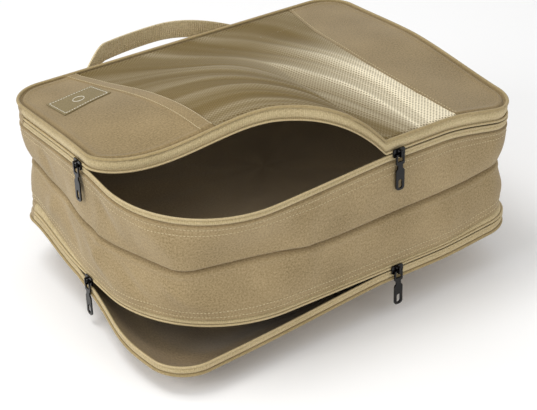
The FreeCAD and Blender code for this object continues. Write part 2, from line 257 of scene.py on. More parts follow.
@dataclass(frozen=True)
class Mesh:
    """Knitted nylon mesh: six-sided holes in yarn, with a painted highlight stored on the cloth that makes
    the yarn paler along the folds and towards the front right.
    """

    name: str = "knitted_nylon_mesh"
    dark: str = "#6A5628"
    # the pale colour of the painted highlight, which the yarn takes on along the folds and towards the
    # front right
    light: str = "#FAEFD2"
    # the real mesh has holes about 1.5 mm apart, drawn at 2.4 mm so that they show
    pitch_mm: float = 2.4
    hole_edge: float = 2.35

    def make(self) -> bpy.types.Material:
        """Builds the mesh from three sets of waves at 60 degrees to each other."""
        material, shader = new_material(self.name)
        tree = material.node_tree
        place = add_node(tree, "ShaderNodeUVMap", uv_map="cloth").outputs["UV"]
        total = None
        turns = 2.0 * math.pi * 1000.0 / self.pitch_mm
        for k in range(3):
            a = math.radians(17 + 60 * k)
            axis = (math.cos(a) * turns, math.sin(a) * turns, 0.0)
            run = add_node(
                tree, "ShaderNodeVectorMath", {0: place, 1: axis}, operation="DOT_PRODUCT"
            ).outputs["Value"]
            wave = add_node(tree, "ShaderNodeMath", {0: run}, operation="COSINE").outputs[0]
            if total is None:
                total = wave
            else:
                total = add_node(
                    tree, "ShaderNodeMath", {0: total, 1: wave}, operation="ADD"
                ).outputs[0]
        # 3 at a hole's middle, -1.5 on the yarn
        hole = add_node(
            tree, "ShaderNodeMath", {0: total, 1: self.hole_edge}, operation="GREATER_THAN"
        ).outputs[0]
        yarn = add_node(
            tree, "ShaderNodeMapRange", {
                "Value": total, "From Min": -1.5, "From Max": 1.0, "To Min": 1.0, "To Max": 0.0
            }
        ).outputs["Result"]
        # the stored painted highlight, strongest on the yarn, draws the mesh towards its pale colour
        painted_highlight = add_node(tree, "ShaderNodeAttribute", attribute_name="painted_highlight").outputs["Fac"]
        shade = add_node(
            tree, "ShaderNodeMath", {0: yarn, 1: 0.55, 2: 0.45}, operation="MULTIPLY_ADD"
        ).outputs[0]
        shade = add_node(tree, "ShaderNodeMath", {0: shade, 1: painted_highlight}, operation="MULTIPLY").outputs[0]
        shade = add_node(
            tree,
            "ShaderNodeMath",
            {0: yarn, 1: 0.08, 2: shade},
            operation="MULTIPLY_ADD",
            use_clamp=True
        ).outputs[0]
        colour = add_node(
            tree, "ShaderNodeMix", {
                "Factor": shade, 6: linear(self.dark), 7: linear(self.light)
            }, data_type="RGBA"
        ).outputs[2]
        tree.links.new(colour, shader.inputs["Base Color"])
        bump = add_node(
            tree, "ShaderNodeBump", {"Height": yarn, "Distance": 0.25 * MM, "Strength": 0.5}
        ).outputs["Normal"]
        tree.links.new(bump, shader.inputs["Normal"])
        solid = add_node(tree, "ShaderNodeMath", {0: 1.0, 1: hole}, operation="SUBTRACT").outputs[0]
        tree.links.new(solid, shader.inputs["Alpha"])
        shader.inputs["Roughness"].default_value = 0.6
        shader.inputs["Specular IOR Level"].default_value = 0.12
        return material


@dataclass(frozen=True)
class Thread:
    """Spun polyester thread or nylon coil: paler than the cloth, with a soft lustre."""

    name: str
    dark: str
    light: str
    roughness: float = 0.5

    def make(self) -> bpy.types.Material:
        """Builds the thread with small changes of shade along it."""
        material, shader = new_material(self.name)
        tree = material.node_tree
        place = add_node(tree, "ShaderNodeTexCoord").outputs["Object"]
        shade = add_node(
            tree, "ShaderNodeTexNoise", {"Vector": place, "Scale": 900.0, "Detail": 1.0}
        ).outputs["Fac"]
        colour = add_node(
            tree, "ShaderNodeMix", {
                "Factor": shade, 6: linear(self.dark), 7: linear(self.light)
            }, data_type="RGBA"
        ).outputs[2]
        tree.links.new(colour, shader.inputs["Base Color"])
        shader.inputs["Roughness"].default_value = self.roughness
        shader.inputs["Sheen Weight"].default_value = 0.1
        return material


@dataclass(frozen=True)
class BlackZinc:
    """Die-cast zinc under glossy black paint: bright edges of light and a few worn spots."""

    name: str = "black_painted_zinc"
    dark: str = "#050405"
    worn: str = "#141213"

    def make(self) -> bpy.types.Material:
        """Builds the paint with its slight orange peel."""
        material, shader = new_material(self.name)
        tree = material.node_tree
        place = add_node(tree, "ShaderNodeTexCoord").outputs["Object"]
        wear = add_node(
            tree, "ShaderNodeTexNoise", {"Vector": place, "Scale": 380.0, "Detail": 4.0}
        ).outputs["Fac"]
        spots = add_node(
            tree, "ShaderNodeMapRange", {
                "Value": wear, "From Min": 0.55, "From Max": 0.75, "To Min": 0.0, "To Max": 1.0
            }
        ).outputs["Result"]
        colour = add_node(
            tree, "ShaderNodeMix", {
                "Factor": spots, 6: linear(self.dark), 7: linear(self.worn)
            }, data_type="RGBA"
        ).outputs[2]
        tree.links.new(colour, shader.inputs["Base Color"])
        rough = add_node(
            tree, "ShaderNodeMapRange", {
                "Value": wear, "From Min": 0.3, "From Max": 0.8, "To Min": 0.12, "To Max": 0.3
            }
        ).outputs["Result"]
        tree.links.new(rough, shader.inputs["Roughness"])
        bump = add_node(
            tree, "ShaderNodeBump", {"Height": wear, "Distance": 0.03 * MM, "Strength": 0.4}
        ).outputs["Normal"]
        tree.links.new(bump, shader.inputs["Normal"])
        shader.inputs["Specular IOR Level"].default_value = 0.3
        return material


class Finish(Enum):
    """Every finish on the cube."""

    GUSSET = Cloth("woven_polyester_canvas", "#75633F", "#B8A27B")
    # the gusset's canvas drawn darker for the lid's panels and binding strip: painted shade on the top,
    # which the lights reach more than the sides
    PANEL = Cloth("woven_polyester_canvas_top_painted_shade", "#6D5C3A", "#A69068")
    BINDING = Cloth("folded_binding_tape", "#8A784F", "#B9A479", Weave.RIBBED, 1.2)
    TAPE = Cloth("woven_zip_tape", "#A08D63", "#D8C69C", Weave.TAPE, 1.6, 0.2)
    LINING = Cloth("plain_woven_lining", "#77654A", "#A08A66", Weave.PLAIN, 1.2)
    WEBBING = Cloth("ribbed_webbing", "#B09B6E", "#EEDFB8", Weave.TAPE, 2.2, 0.5)
    LABEL = Cloth("woven_label_patch", "#6F6140", "#94845B", Weave.RIBBED, 1.0, 0.08, 0.7, 0.1)
    MESH = Mesh()
    COIL = Thread("nylon_zip_coil", "#A08C60", "#D2BF94", 0.42)
    STITCH = Thread("spun_polyester_thread", "#BBA97F", "#DCCDA8", 0.6)
    MARK = Thread("embroidery_thread", "#D9D2BF", "#F4F0E4", 0.55)
    METAL = BlackZinc()


class Wardrobe:
    """Makes each finish once and dresses pieces in it."""

    def __init__(self) -> None:
        """Starts with no material made."""
        self.made: dict[Finish, bpy.types.Material] = {}

    def material(self, finish: Finish) -> bpy.types.Material:
        """Returns the finish's material."""
        if finish not in self.made:
            self.made[finish] = finish.value.make()
        return self.made[finish]

    def dress(self, piece: bpy.types.Object, finish: Finish) -> bpy.types.Object:
        """Gives a piece one finish all over."""
        piece.data.materials.clear()
        piece.data.materials.append(self.material(finish))
        return piece

    def fit(self, piece: bpy.types.Object, body: str, node: str, finish: Finish, slot: str) -> None:
        """Dresses a piece, sets it on a body and hides the solid it stands for."""
        self.dress(piece, finish)
        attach(piece, body)
        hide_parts(node)
        log.info(piece.name)

    def dress_node(self, node: bpy.types.Object, finish: Finish) -> None:
        """Gives a carried-over solid one finish in each of its slots."""
        for place in node.material_slots:
            place.material = self.material(finish)
        if not node.material_slots:
            node.data.materials.append(self.material(finish))


# meshes


def deselect() -> None:
    """Leaves object mode's selection empty."""
    if bpy.context.object and bpy.context.object.mode != "OBJECT":
        bpy.ops.object.mode_set(mode="OBJECT")
    bpy.ops.object.select_all(action="DESELECT")


def take(piece: bpy.types.Object) -> bpy.types.Object:
    """Selects one piece alone and makes it active."""
    deselect()
    piece.select_set(True)
    bpy.context.view_layer.objects.active = piece
    return piece


def apply_modifiers(piece: bpy.types.Object) -> bpy.types.Object:
    """Applies every modifier on a piece, in order."""
    take(piece)
    for modifier in list(piece.modifiers):
        bpy.ops.object.modifier_apply(modifier=modifier.name)
    return piece


def smooth_by_angle(piece: bpy.types.Object, degrees: float = 40.0) -> bpy.types.Object:
    """Shades a piece smooth except across edges sharper than an angle."""
    take(piece)
    bpy.ops.object.shade_smooth_by_angle(angle=math.radians(degrees))
    return piece


@dataclass
class Strip:
    """A length of cloth laid over a surface, as a grid of points with its size in millimetres."""

    name: str
    surface: Surface
    across: int
    along: int
    closed: bool = False
    thickness: float = 0.0
    thicken_to: float = -1.0

    def make(self) -> bpy.types.Object:
        """Builds the piece from a flat grid whose points are moved to the surface.

        Returns:
            The piece, with the map "cloth" in metres along and across it.
        """
        deselect()
        bpy.ops.mesh.primitive_grid_add(x_subdivisions=self.along, y_subdivisions=self.across, size=1.0)
        piece = bpy.context.object
        piece.name = piece.data.name = self.name
        mesh = piece.data
        shares = [(v.co.x + 0.5, v.co.y + 0.5) for v in mesh.vertices]
        for vertex, (u, v) in zip(mesh.vertices, shares):
            vertex.co = self.surface(u, v)
        self.lay_map(mesh)
        if self.closed:
            bpy.ops.object.mode_set(mode="EDIT")
            bpy.ops.mesh.select_all(action="SELECT")
            bpy.ops.mesh.remove_doubles(threshold=1e-6)
            bpy.ops.object.mode_set(mode="OBJECT")
        if self.thickness:
            solid = piece.modifiers.new("cloth_thickness", "SOLIDIFY")
            solid.thickness = self.thickness
            solid.offset = self.thicken_to
            solid.use_even_offset = False
            apply_modifiers(piece)
        take(piece)
        bpy.ops.object.shade_smooth()
        if self.thickness:
            smooth_by_angle(piece, 50.0)
        return piece

    def lay_map(self, mesh: bpy.types.Mesh) -> None:
        """Gives each corner its distance along and across the cloth, in metres."""
        columns, rows = self.along + 1, self.across + 1
        middle = rows // 2
        grid = [[mesh.vertices[j * columns + i].co for i in range(columns)] for j in range(rows)]
        run = [0.0]
        for i in range(1, columns):
            run.append(run[-1] + (grid[middle][i] - grid[middle][i - 1]).length)
        step = columns // 2
        rise = [0.0]
        for j in range(1, rows):
            rise.append(rise[-1] + (grid[j][step] - grid[j - 1][step]).length)
        layer = mesh.uv_layers.active or mesh.uv_layers.new(name="cloth")
        layer.name = "cloth"
        for loop in mesh.loops:
            j, i = divmod(loop.vertex_index, columns)
            layer.data[loop.index].uv = (run[i], rise[j])


def join(pieces: Sequence[bpy.types.Object], name: str) -> bpy.types.Object:
    """Joins pieces into one and names it."""
    take(pieces[0])
    for piece in pieces[1:]:
        piece.select_set(True)
    bpy.ops.object.join()
    joined = bpy.context.object
    joined.name = joined.data.name = name
    return joined


def stitch_row(name: str, path: Path, length: float, pitch: float = 3.4 * MM) -> bpy.types.Object:
    """Sews a row of stitches along a path.

    Args:
        name: the row's name.
        path: the place and outward direction at a share of the row.
        length: the row's length in metres.
        pitch: the distance from one stitch to the next.

    Returns:
        One piece with every stitch in it.
    """
    count = max(2, int(length / pitch))
    deselect()
    bpy.ops.mesh.primitive_uv_sphere_add(segments=6, ring_count=4, radius=1.0)
    piece = bpy.context.object
    piece.name = piece.data.name = name
    bead = [v.co.copy() for v in piece.data.vertices]
    faces = [list(p.vertices) for p in piece.data.polygons]
    places: list[Vector] = []
    polygons: list[list[int]] = []
    for k in range(count):
        here, out = path((k + 0.5) / count)
        ahead, _ = path(min(1.0, (k + 0.8) / count))
        along = (ahead - here).normalized()
        side = along.cross(out).normalized()
        start = len(places)
        for p in bead:
            places.append(
                here + along * (p.x * 1.15 * MM) + side * (p.y * 0.32 * MM) + out * (p.z * 0.28 * MM)
            )
        polygons += [[start + i for i in f] for f in faces]
    mesh = bpy.data.meshes.new(name)
    mesh.from_pydata([tuple(p) for p in places], [], polygons)
    old = piece.data
    piece.data = mesh
    bpy.data.meshes.remove(old)
    mesh.name = name
    take(piece)
    bpy.ops.object.shade_smooth()
    return piece


# the cube's shape


@dataclass(frozen=True)
class Shape:
    """Sizes shared by every piece, in metres."""

    width: float = 356 * MM
    depth: float = 276 * MM
    corner: float = 31 * MM
    lower_seam: float = 34 * MM
    middle_seam: float = 101 * MM
    upper_groove: float = 150 * MM
    upper_seam: float = 170.5 * MM
    lower_chain: float = 43.5 * MM
    cloth: float = 1.2 * MM
    lip_left_y: float = -9 * MM
    lip_right_x: float = 30 * MM
    lip_reach: float = 40 * MM
    lip_rise: float = 45 * MM
    sink_back: float = 5 * MM
    sink_corner: float = 11 * MM
    hitch_right: float = 6 * MM
    hitch_left: float = 15 * MM
    strip_width: float = 11 * MM
    strip_back: float = -123 * MM
    strip_front: float = -108 * MM
    right_back: float = 124 * MM
    right_front: float = 108 * MM
    right_bow: float = 15 * MM
    body_cord: float = 155.9 * MM
    lid_cord: float = 159.1 * MM

    def settle(self, x: float, y: float) -> float:
        """Returns how far the soft upper rim sinks at the back and the front right corner."""
        corner = smooth((x - 90 * MM) / (88 * MM)) * smooth((20 * MM - y) / (155 * MM))
        return self.sink_back * smooth((y - 4 * MM) / (130 * MM)) + self.sink_corner * corner

    def hitch(self, x: float, y: float) -> float:
        """Returns how far the lower rim is drawn up, at the right end and the back left corner."""
        left = bell(y, 105 * MM, 50 * MM) * smooth((-x - 120 * MM) / (55 * MM))
        right = smooth((x - 85 * MM) / (85 * MM)) * smooth((115 * MM - y) / (90 * MM))
        return self.hitch_right * right + self.hitch_left * left

    def zip_end(self) -> float:
        """Returns the y at which the zips end, where the back corners begin."""
        return self.depth / 2 - self.corner


SHAPE = Shape()


class Outline:
    """A rounded rectangle seen from above, whose front left corner has its own radius."""

    def __init__(self, front_left: float, grow: float = 0.0) -> None:
        """Lays out the outline from the zip's left end, round by the front.

        Args:
            front_left: the front left corner's radius.
            grow: how far the whole outline stands out from the nominal one.
        """
        w, d = SHAPE.width / 2 + grow, SHAPE.depth / 2 + grow
        r, s = SHAPE.corner + grow, front_left + grow
        self.runs: list[tuple[float, Callable[[float], tuple[float, float, float, float]]]] = []
        self.line((-w, d - r), (-w, s - d), (-1, 0))
        self.bend(-w + s, -d + s, s, 180)
        self.line((s - w, -d), (w - r, -d), (0, -1))
        self.bend(w - r, -d + r, r, 270)
        self.line((w, r - d), (w, d - r), (1, 0))
        self.front_length = sum(length for length, _ in self.runs)
        self.bend(w - r, d - r, r, 0)
        self.line((w - r, d), (r - w, d), (0, 1))
        self.bend(r - w, d - r, r, 90)
        self.length = sum(length for length, _ in self.runs)

    def line(self, start: tuple[float, float], end: tuple[float, float], out: tuple[int, int]) -> None:
        """Adds a straight side."""
        length = math.dist(start, end)

        def at(t: float) -> tuple[float, float, float, float]:
            return mix(start[0], end[0], t), mix(start[1], end[1], t), out[0], out[1]

        self.runs.append((length, at))

    def bend(self, x: float, y: float, radius: float, start: float) -> None:
        """Adds a quarter turn about a point."""

        def at(t: float) -> tuple[float, float, float, float]:
            a = math.radians(start + 90 * t)
            return x + radius * math.cos(a), y + radius * math.sin(a), math.cos(a), math.sin(a)

        self.runs.append((radius * math.pi / 2, at))

    def at(self, distance: float) -> tuple[float, float, float, float]:
        """Returns x, y and the outward direction at a distance along the outline."""
        distance = distance % self.length if distance > self.length else max(0.0, distance)
        for length, run in self.runs:
            if distance <= length:
                return run(distance / length)
            distance -= length
        return self.runs[-1][1](1.0)

    def at_share(self, u: float) -> tuple[float, float, float, float]:
        """Returns x, y and the outward direction, with 0 to 0.75 along the zip and the rest behind."""
        if u <= ZIP:
            return self.at(self.front_length * u / ZIP)
        return self.at(mix(self.front_length, self.length - 1e-9, (u - ZIP) / (1 - ZIP)))


class Walls:
    """The side wall's soft surface, from the lower zip up to the upper one."""

    # stops along the wall: 0 at the zips' left ends, then the left side, the soft front
    # corner at about 0.2, the front, the right corner at 0.53, the right side and the back
    MIDDLE = (
        (0.0, 0.107), (0.045, 0.1035), (0.10, 0.097), (0.14, 0.0945), (0.21, 0.096),
        (0.29, 0.098), (0.34, 0.0955), (0.42, 0.0975), (0.47, 0.0985), (0.53, 0.103),
        (0.75, 0.103), (1.0, 0.107),
    )
    GROOVE = (
        (0.0, 0.053), (0.045, 0.051), (0.09, 0.0485), (0.21, 0.0495), (0.34, 0.0485),
        (0.45, 0.0485), (0.52, 0.050), (0.75, 0.051), (1.0, 0.053),
    )
    WAIST = (
        (0.0, 0.008), (0.045, 0.0055), (0.10, 0.0015), (0.15, 0.0), (0.28, 0.0015), (0.44, 0.002),
        (0.51, 0.0065), (0.55, 0.008), (0.66, 0.006), (0.75, 0.006), (0.88, 0.004), (1.0, 0.008),
    )

    def __init__(self) -> None:
        """Prepares outlines at the three seams."""
        self.low = Outline(107 * MM)
        self.middle = Outline(98 * MM)
        self.top = Outline(100 * MM)

    def kinked(self, u: float) -> tuple[float, float]:
        """Returns the plan of the middle seam, which turns in folds rather than one arc."""
        x, y, _, _ = self.middle.at_share(u)
        travel = self.middle.front_length * u / ZIP
        start, end = 128 * MM, 330 * MM
        if u > ZIP or travel <= start - 12 * MM or travel >= end + 12 * MM:
            return x, y
        spots = [
            self.facet((travel - start + k * 4 * MM) / (end - start)) for k in (-3, -2, -1, 0, 1, 2, 3)
        ]
        inside = smooth(
            (travel - start + 12 * MM) / (18 * MM)
        ) * smooth((end + 12 * MM - travel) / (18 * MM))
        fold_x = sum(spot[0] for spot in spots) / len(spots)
        fold_y = sum(spot[1] for spot in spots) / len(spots)
        return mix(x, fold_x, inside), mix(y, fold_y, inside)

    def facet(self, t: float) -> tuple[float, float]:
        """Returns a place on the two flat folds that stand in for the corner's arc."""
        left, corner, right = (-178 * MM, -21 * MM), (-153 * MM, -109 * MM), (-51 * MM, -138 * MM)
        turn = 0.47
        if t < turn:
            return mix(left[0], corner[0], t / turn), mix(left[1], corner[1], t / turn)
        share = (t - turn) / (1 - turn)
        return mix(corner[0], right[0], share), mix(corner[1], right[1], share)

    def plan(self, u: float, rise: float) -> tuple[Vector, Vector]:
        """Returns the taut wall's place and outward direction.

        Args:
            u: share of the way round.
            rise: -1 at the lower zip, 0 at the middle seam and 1 at the upper zip.

        Returns:
            The place, with no height, and the direction.
        """
        t = smooth(abs(rise)) if abs(rise) < 1 else 1.0
        far = (self.top if rise > 0 else self.low).at_share(u)
        near = self.middle.at_share(u)
        x, y = self.kinked(u)
        out = Vector((mix(near[2], far[2], t), mix(near[3], far[3], t), 0)).normalized()
        return Vector((mix(x, far[0], t), mix(y, far[1], t), 0)), out

    def middle_out(self, u: float) -> Vector:
        """Returns the wall's outward direction half way up."""
        return self.plan(u, 0.0)[1]

    def mouth_sag(self, u: float) -> float:
        """Returns how far the open upper edge hangs below the zip's level."""
        left, right = 0.112, 0.392
        if not left < u < right:
            return 0.0
        return 8.5 * MM * math.sin(math.pi * ((u - left) / (right - left)) ** 0.85) ** 1.2

    def creases(self, u: float, z: float) -> float:
        """Returns the soft folds that run up, down and aslant in the slack cloth."""
        level = z / MM
        depth = 0.0
        for middle, height, lean, width, reach, deep in (
            (0.035, 125, -0.0006, 0.007, 22, -2.6),
            (0.085, 118, -0.0004, 0.009, 20, 1.8),
            (0.135, 122, -0.0012, 0.008, 20, -2.4),
            (0.190, 128, -0.0014, 0.010, 16, 1.6),
            (0.035, 76, 0.0008, 0.008, 18, 2.6),
            (0.070, 74, -0.0010, 0.008, 18, -2.2),
            (0.118, 76, -0.0022, 0.009, 18, 2.6),
            (0.160, 72, -0.0026, 0.009, 18, -2.4),
            (0.205, 76, -0.0024, 0.010, 16, 2.0),
            (0.265, 74, -0.0016, 0.010, 16, -1.6),
            (0.330, 122, -0.0008, 0.012, 18, 1.2),
            (0.455, 124, 0.0006, 0.012, 20, -1.2),
            (0.525, 76, -0.0008, 0.010, 20, 2.0),
            (0.620, 124, 0.0010, 0.010, 22, -2.0),
            (0.700, 76, -0.0010, 0.010, 22, 2.0),
            (0.830, 124, 0.0006, 0.010, 22, -1.8),
            (0.930, 76, -0.0008, 0.010, 22, 1.8),
        ):
            line = middle + 0.55 * lean * (level - height)
            depth += 1.2 * deep * MM * bell(u, line, 1.2 * width) * bell(level, height, reach)
        return depth

    def slack(self, u: float, z: float) -> float:
        """Returns the uneven swelling of the cloth between its seams."""
        turn = 2 * math.pi * u
        east, north = math.cos(turn), math.sin(turn)
        level = z / MM
        soft = ripple(2.1 * east, 2.1 * north, level / 55, 1) * 2.6 * MM
        soft += ripple(6.5 * east, 6.5 * north, level / 34, 2) * 1.3 * MM
        return soft + ripple(17 * east, 17 * north, level / 20, 3) * 0.45 * MM

    def upper(self, u: float, v: float, out: float = 0.0) -> Vector:
        """Returns a place on the upper wall, from the middle seam (0) to the upper groove (1)."""
        s = SHAPE
        z = mix(through(self.MIDDLE, u), s.upper_groove - self.mouth_sag(u), v)
        free = math.sin(math.pi * v)
        offset = -through(self.WAIST, u) * (1 - v) ** 1.3 + free * (1.6 * MM + self.slack(u, z))
        offset += self.creases(u, z) * free**0.7 - 3.4 * MM * bell(v, 0.0, 0.035)
        offset += 0.9 * MM * bell(v, 0.965, 0.03) - 2.6 * MM * bell(v, 1.0, 0.016)
        place, away = self.plan(u, mix(0, 0.93, v))
        return place + away * (offset + out) + Vector((0, 0, z - s.settle(place.x, place.y) * v))

    def lower(self, u: float, v: float, out: float = 0.0) -> Vector:
        """Returns a place on the lower wall, from the lower groove (0) to the middle seam (1)."""
        z = mix(through(self.GROOVE, u), through(self.MIDDLE, u), v)
        free = math.sin(math.pi * v)
        offset = -through(self.WAIST, u) * mix(0.5, 1.0, v) + free * (2.4 * MM + self.slack(u, z + 0.4))
        offset += (
            self.creases(u, z) * free**0.7 + 1.0 * MM * bell(v, 0.92, 0.04) - 3.4 * MM * bell(v, 1.0, 0.022)
        )
        offset += 0.9 * MM * bell(v, 0.035, 0.03) - 2.6 * MM * bell(v, 0.0, 0.016)
        place, away = self.plan(u, mix(-0.93, 0, v))
        z += SHAPE.hitch(place.x, place.y) * (1 - v)
        return place + away * (offset + out) + Vector((0, 0, z))

    def upper_band(self, u: float, v: float, out: float = 0.0) -> Vector:
        """Returns a place on the tape between the upper groove (0) and the upper cord (1)."""
        s = SHAPE
        sag = self.mouth_sag(u)
        place, away = self.plan(u, mix(0.93, 1.0, v))
        belly = (1.6 * math.sin(math.pi * v) - 1.2) * MM
        z = mix(s.upper_groove, s.body_cord - 0.6 * MM, v) - sag - s.settle(place.x, place.y)
        return place + away * (belly + out) + Vector((0, 0, z))

    def lower_band(self, u: float, v: float, out: float = 0.0) -> Vector:
        """Returns a place on the tape between the lower cord (0) and the lower groove (1)."""
        s = SHAPE
        place, away = self.plan(u, mix(-1.0, -0.93, v))
        belly = (1.3 * math.sin(math.pi * v) - 1.1) * MM - 0.5 * through(self.WAIST, u) * v
        z = mix(s.lower_chain + 2.2 * MM, through(self.GROOVE, u), v) + s.hitch(place.x, place.y)
        return place + away * (belly + out) + Vector((0, 0, z))

    def cord(self, u: float, upper: bool) -> tuple[Vector, Vector]:
        """Returns a place on the body's half-chain and its outward direction."""
        s = SHAPE
        if upper:
            place, away = self.plan(u, 1.0)
            return place + Vector(
                (0, 0, s.body_cord - self.mouth_sag(u) - s.settle(place.x, place.y))
            ), away
        place, away = self.plan(u, -1.0)
        return place + Vector((0, 0, s.lower_chain + 1.6 * MM + s.hitch(place.x, place.y))), away


class Lid:
    """The upper lid's soft surface and its lifted, slack edge."""

    def lip_plan(self, t: float) -> tuple[float, float]:
        """Returns x and y on the lifted edge at a share of its length."""
        s = SHAPE
        start = (-s.width / 2, s.lip_left_y)
        first = (-s.width / 2, s.lip_left_y - s.lip_reach)
        second = (s.lip_right_x - s.lip_reach, -s.depth / 2)
        end = (s.lip_right_x, -s.depth / 2)
        k = 1.0 - t
        shares = (k * k * k, 3 * k * k * t, 3 * k * t * t, t * t * t)
        spots = (start, first, second, end)
        return (
            sum(w * p[0] for w, p in zip(shares, spots)),
            sum(w * p[1] for w, p in zip(shares, spots)),
        )

    def lip_lift(self, t: float) -> float:
        """Returns how far the edge is lifted at a share of its length."""
        turn = t**1.475
        return SHAPE.lip_rise * math.sin(math.pi * turn) ** (2.5 if turn < 0.5 else 1.2)

    def lip_at(self, x: float) -> float:
        """Returns the share of the lifted edge at which it crosses a value of x."""
        low, high = 0.0, 1.0
        for _ in range(30):
            middle = (low + high) / 2
            if self.lip_plan(middle)[0] < x:
                low = middle
            else:
                high = middle
        return (low + high) / 2

    def front(self, x: float) -> tuple[float, float]:
        """Returns y and lift of the front edge at a value of x."""
        if x >= SHAPE.lip_right_x:
            return self.side(x, -1), 0.0
        t = self.lip_at(x)
        return self.lip_plan(t)[1], self.lip_lift(t)

    def side(self, x: float, which: int) -> float:
        """Returns the outline's y at a value of x, for the back (1) or the front (-1)."""
        s = SHAPE
        over = abs(x) - (s.width / 2 - s.corner)
        drop = 0.0
        if over > 0:
            drop = s.corner - math.sqrt(max(0.0, s.corner**2 - over**2))
        return which * (s.depth / 2 - drop)

    def sag(self, x: float, y: float) -> float:
        """Returns the small hollows and swells of the slack lid."""
        s = SHAPE
        edge = min(1.0, (s.width / 2 - abs(x)) / (40 * MM), (s.depth / 2 - y) / (40 * MM))
        edge = smooth(max(0.0, edge))
        soft = ripple(x / 0.09, y / 0.12, 0.5, 7) * 2.4 + ripple(x / 0.04, y / 0.06, 2.5, 8) * 0.9
        return soft * MM * edge

    def fan_angle(self, x: float, y: float) -> tuple[float, float]:
        """Returns which fold of the mesh a place lies on, in degrees, and how far out in millimetres.

        The folds spread from beyond the front right slider and curl as they go.
        """
        across, back = x / MM - 55, y / MM + 200
        reach = math.hypot(across, back)
        wander = 2.2 * ripple(x / 0.07, y / 0.07, 1.0, 12)
        return math.degrees(math.atan2(back, across)) - 0.1 * reach + wander, reach

    def folds(self, x: float, y: float) -> float:
        """Returns the height of the mesh's folds, from -1 to 1."""
        angle, _ = self.fan_angle(x, y)
        main = math.sin(2 * math.pi * (angle - 58) / 12)
        small = math.sin(2 * math.pi * (angle - 56) / 5.1)
        fine = math.sin(2 * math.pi * angle / 2.9 + 1.0)
        strength = 0.6 + 0.4 * ripple(x / 0.09, y / 0.05, 2.0, 13)
        return (0.62 * main + 0.3 * small + 0.16 * fine) * strength

    def fan(self, x: float, y: float) -> float:
        """Returns the height the folds add to the mesh window."""
        s = SHAPE
        _, reach = self.fan_angle(x, y)
        fade = smooth((reach - 62) / 60) * smooth((s.depth / 2 - y) / (45 * MM))
        inside = smooth((x + 84 * MM) / (45 * MM)) * smooth((112 * MM - x) / (26 * MM))
        return 2.6 * MM * self.folds(x, y) * fade * inside

    def painted_highlight(self, x: float, y: float) -> float:
        """Returns the painted highlight on the stretched yarn: how pale it is drawn, more on ridges and
        towards the front right.
        """
        angle, _ = self.fan_angle(x, y)
        # painted highlight: a pale area towards the front right and pale streaks along the fold ridges
        near = smooth((96 - angle) / 44) * smooth((95 * MM - y) / (190 * MM))
        ridge = max(0.0, 0.5 + 0.75 * self.folds(x, y)) ** 2
        return max(0.0, min(1.0, 0.2 * ridge + near * (0.9 + 0.8 * ridge)))

    def rim_distance(self, x: float, y: float, front: float) -> float:
        """Returns the distance in from the lid's nearest edge."""
        s = SHAPE
        w, d, r = s.width / 2, s.depth / 2, s.corner
        inside = min(w - abs(x), d - y, y - front)
        across, along = abs(x) - (w - r), abs(y) - (d - r)
        if across > 0 and along > 0 and (y > 0 or x > 0):
            inside = r - math.hypot(across, along)
        return inside

    def strip_x(self, v: float) -> float:
        """Returns x of the binding strip's left edge, from the back (0) to the front (1)."""
        return mix(SHAPE.strip_back, SHAPE.strip_front, 1.0 - (1.0 - v) ** 5)

    def right_x(self, v: float) -> float:
        """Returns x of the right panel's inner edge, from the back (0) to the front (1)."""
        return mix(SHAPE.right_back, SHAPE.right_front, v) - SHAPE.right_bow * math.sin(math.pi * v)

    def point(self, x: float, v: float, up: float = 0.0, inset: float = 0.0) -> Vector:
        """Returns a place on the lid.

        Args:
            x: distance along the cube.
            v: share of the way from the back edge to the front one.
            up: distance above the cloth.
            inset: share by which the whole lid is drawn in from its edges.

        Returns:
            The place.
        """
        s = SHAPE
        front, lift = self.front(x)
        y = mix(self.side(x, 1), front, v)
        free = math.sin(math.pi * v)
        crown = 5.0 * MM * free * (1.0 - abs(2 * x / s.width) ** 4)
        z = s.upper_seam + lift * smooth(v) ** 1.1 + crown - s.settle(x, y)
        z += (self.sag(x, y) + self.fan(x, y)) * min(1.0, 1.6 * free)
        # a narrow ditch runs just inside the piping
        inward = self.rim_distance(x, y, front) / MM
        z -= 1.9 * MM * bell(inward, 2.4, 1.3) - 0.7 * MM * bell(inward, 6.0, 2.4)
        k = 1.0 - inset
        return Vector((x * k, y * k, z + up))

    def edge(self, u: float) -> tuple[Vector, Vector]:
        """Returns the lid's edge and its outward direction, from the zip's left end to its right."""
        s = SHAPE
        w, d, r = s.width / 2, s.depth / 2, s.corner
        left = s.zip_end() - s.lip_left_y
        lip = 300 * MM
        front = w - r - s.lip_right_x
        bend = r * math.pi / 2
        right = d - r + s.zip_end()
        travel = u * (left + lip + front + bend + right)
        seam = s.upper_seam
        if travel <= left:
            y = s.zip_end() - travel
            return Vector((-w, y, seam - s.settle(-w, y))), Vector((-1, 0, 0))
        travel -= left
        if travel <= lip:
            t = travel / lip
            x, y = self.lip_plan(t)
            ahead = self.lip_plan(min(1.0, t + 1e-3))
            back = self.lip_plan(max(0.0, t - 1e-3))
            out = Vector((ahead[1] - back[1], back[0] - ahead[0], 0)).normalized()
            return Vector((x, y, seam + self.lip_lift(t))), out
        travel -= lip
        if travel <= front:
            x = s.lip_right_x + travel
            return Vector((x, -d, seam - s.settle(x, -d))), Vector((0, -1, 0))
        travel -= front
        if travel <= bend:
            a = math.radians(-90) + travel / r
            x, y = w - r + r * math.cos(a), -d + r + r * math.sin(a)
            return Vector((x, y, seam - s.settle(x, y))), Vector((math.cos(a), math.sin(a), 0))
        travel -= bend
        y = min(r - d + travel, s.zip_end())
        return Vector((w, y, seam - s.settle(w, y))), Vector((1, 0, 0))


